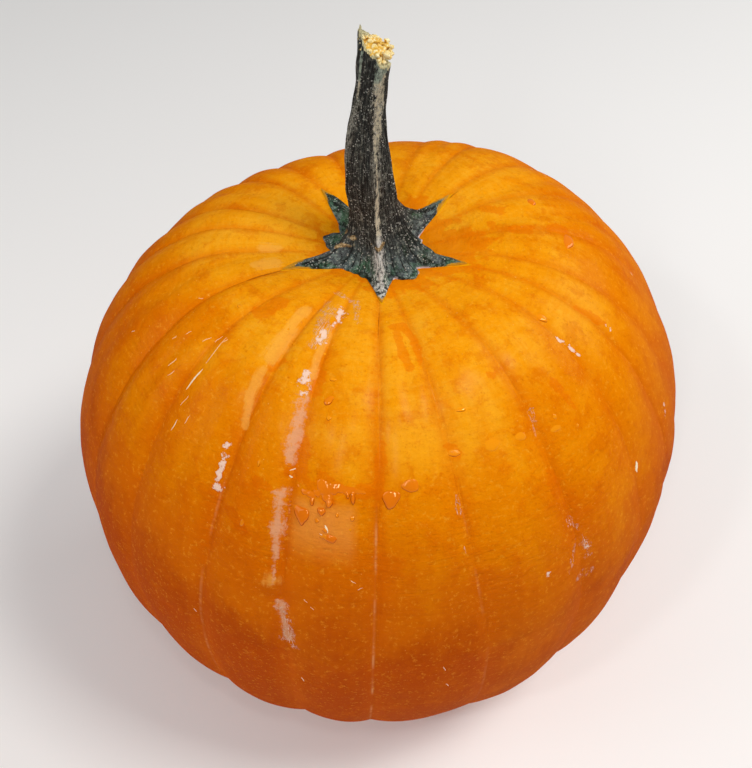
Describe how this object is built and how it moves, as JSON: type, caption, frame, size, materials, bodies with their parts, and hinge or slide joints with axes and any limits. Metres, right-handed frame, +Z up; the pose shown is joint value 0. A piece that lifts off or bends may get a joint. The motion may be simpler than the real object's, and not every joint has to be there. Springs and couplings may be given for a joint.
{
  "type": "pumpkin",
  "caption": "Ribbed orange pumpkin with a tall woody stalk on a star-shaped foot, standing on the flat spot of its underside.",
  "frame": {"origin": "on the fruit's axis, in the plane of the flat spot it rests on", "axes": "+Z up along the fruit's axis towards the stalk, -Y towards the front, +X to the right seen from the front"},
  "size_m": [0.2521, 0.2375, 0.3048],
  "materials": {
    "skin": "waxy satin rind, wet in places",
    "bark": "rough dark green stalk with pale ridges",
    "pith": "dry crumbly fibre"
  },
  "bodies": {
    "root": {"fruit": "skin", "stem": "bark", "stem_pith": "pith"}
  },
  "joints": []
}
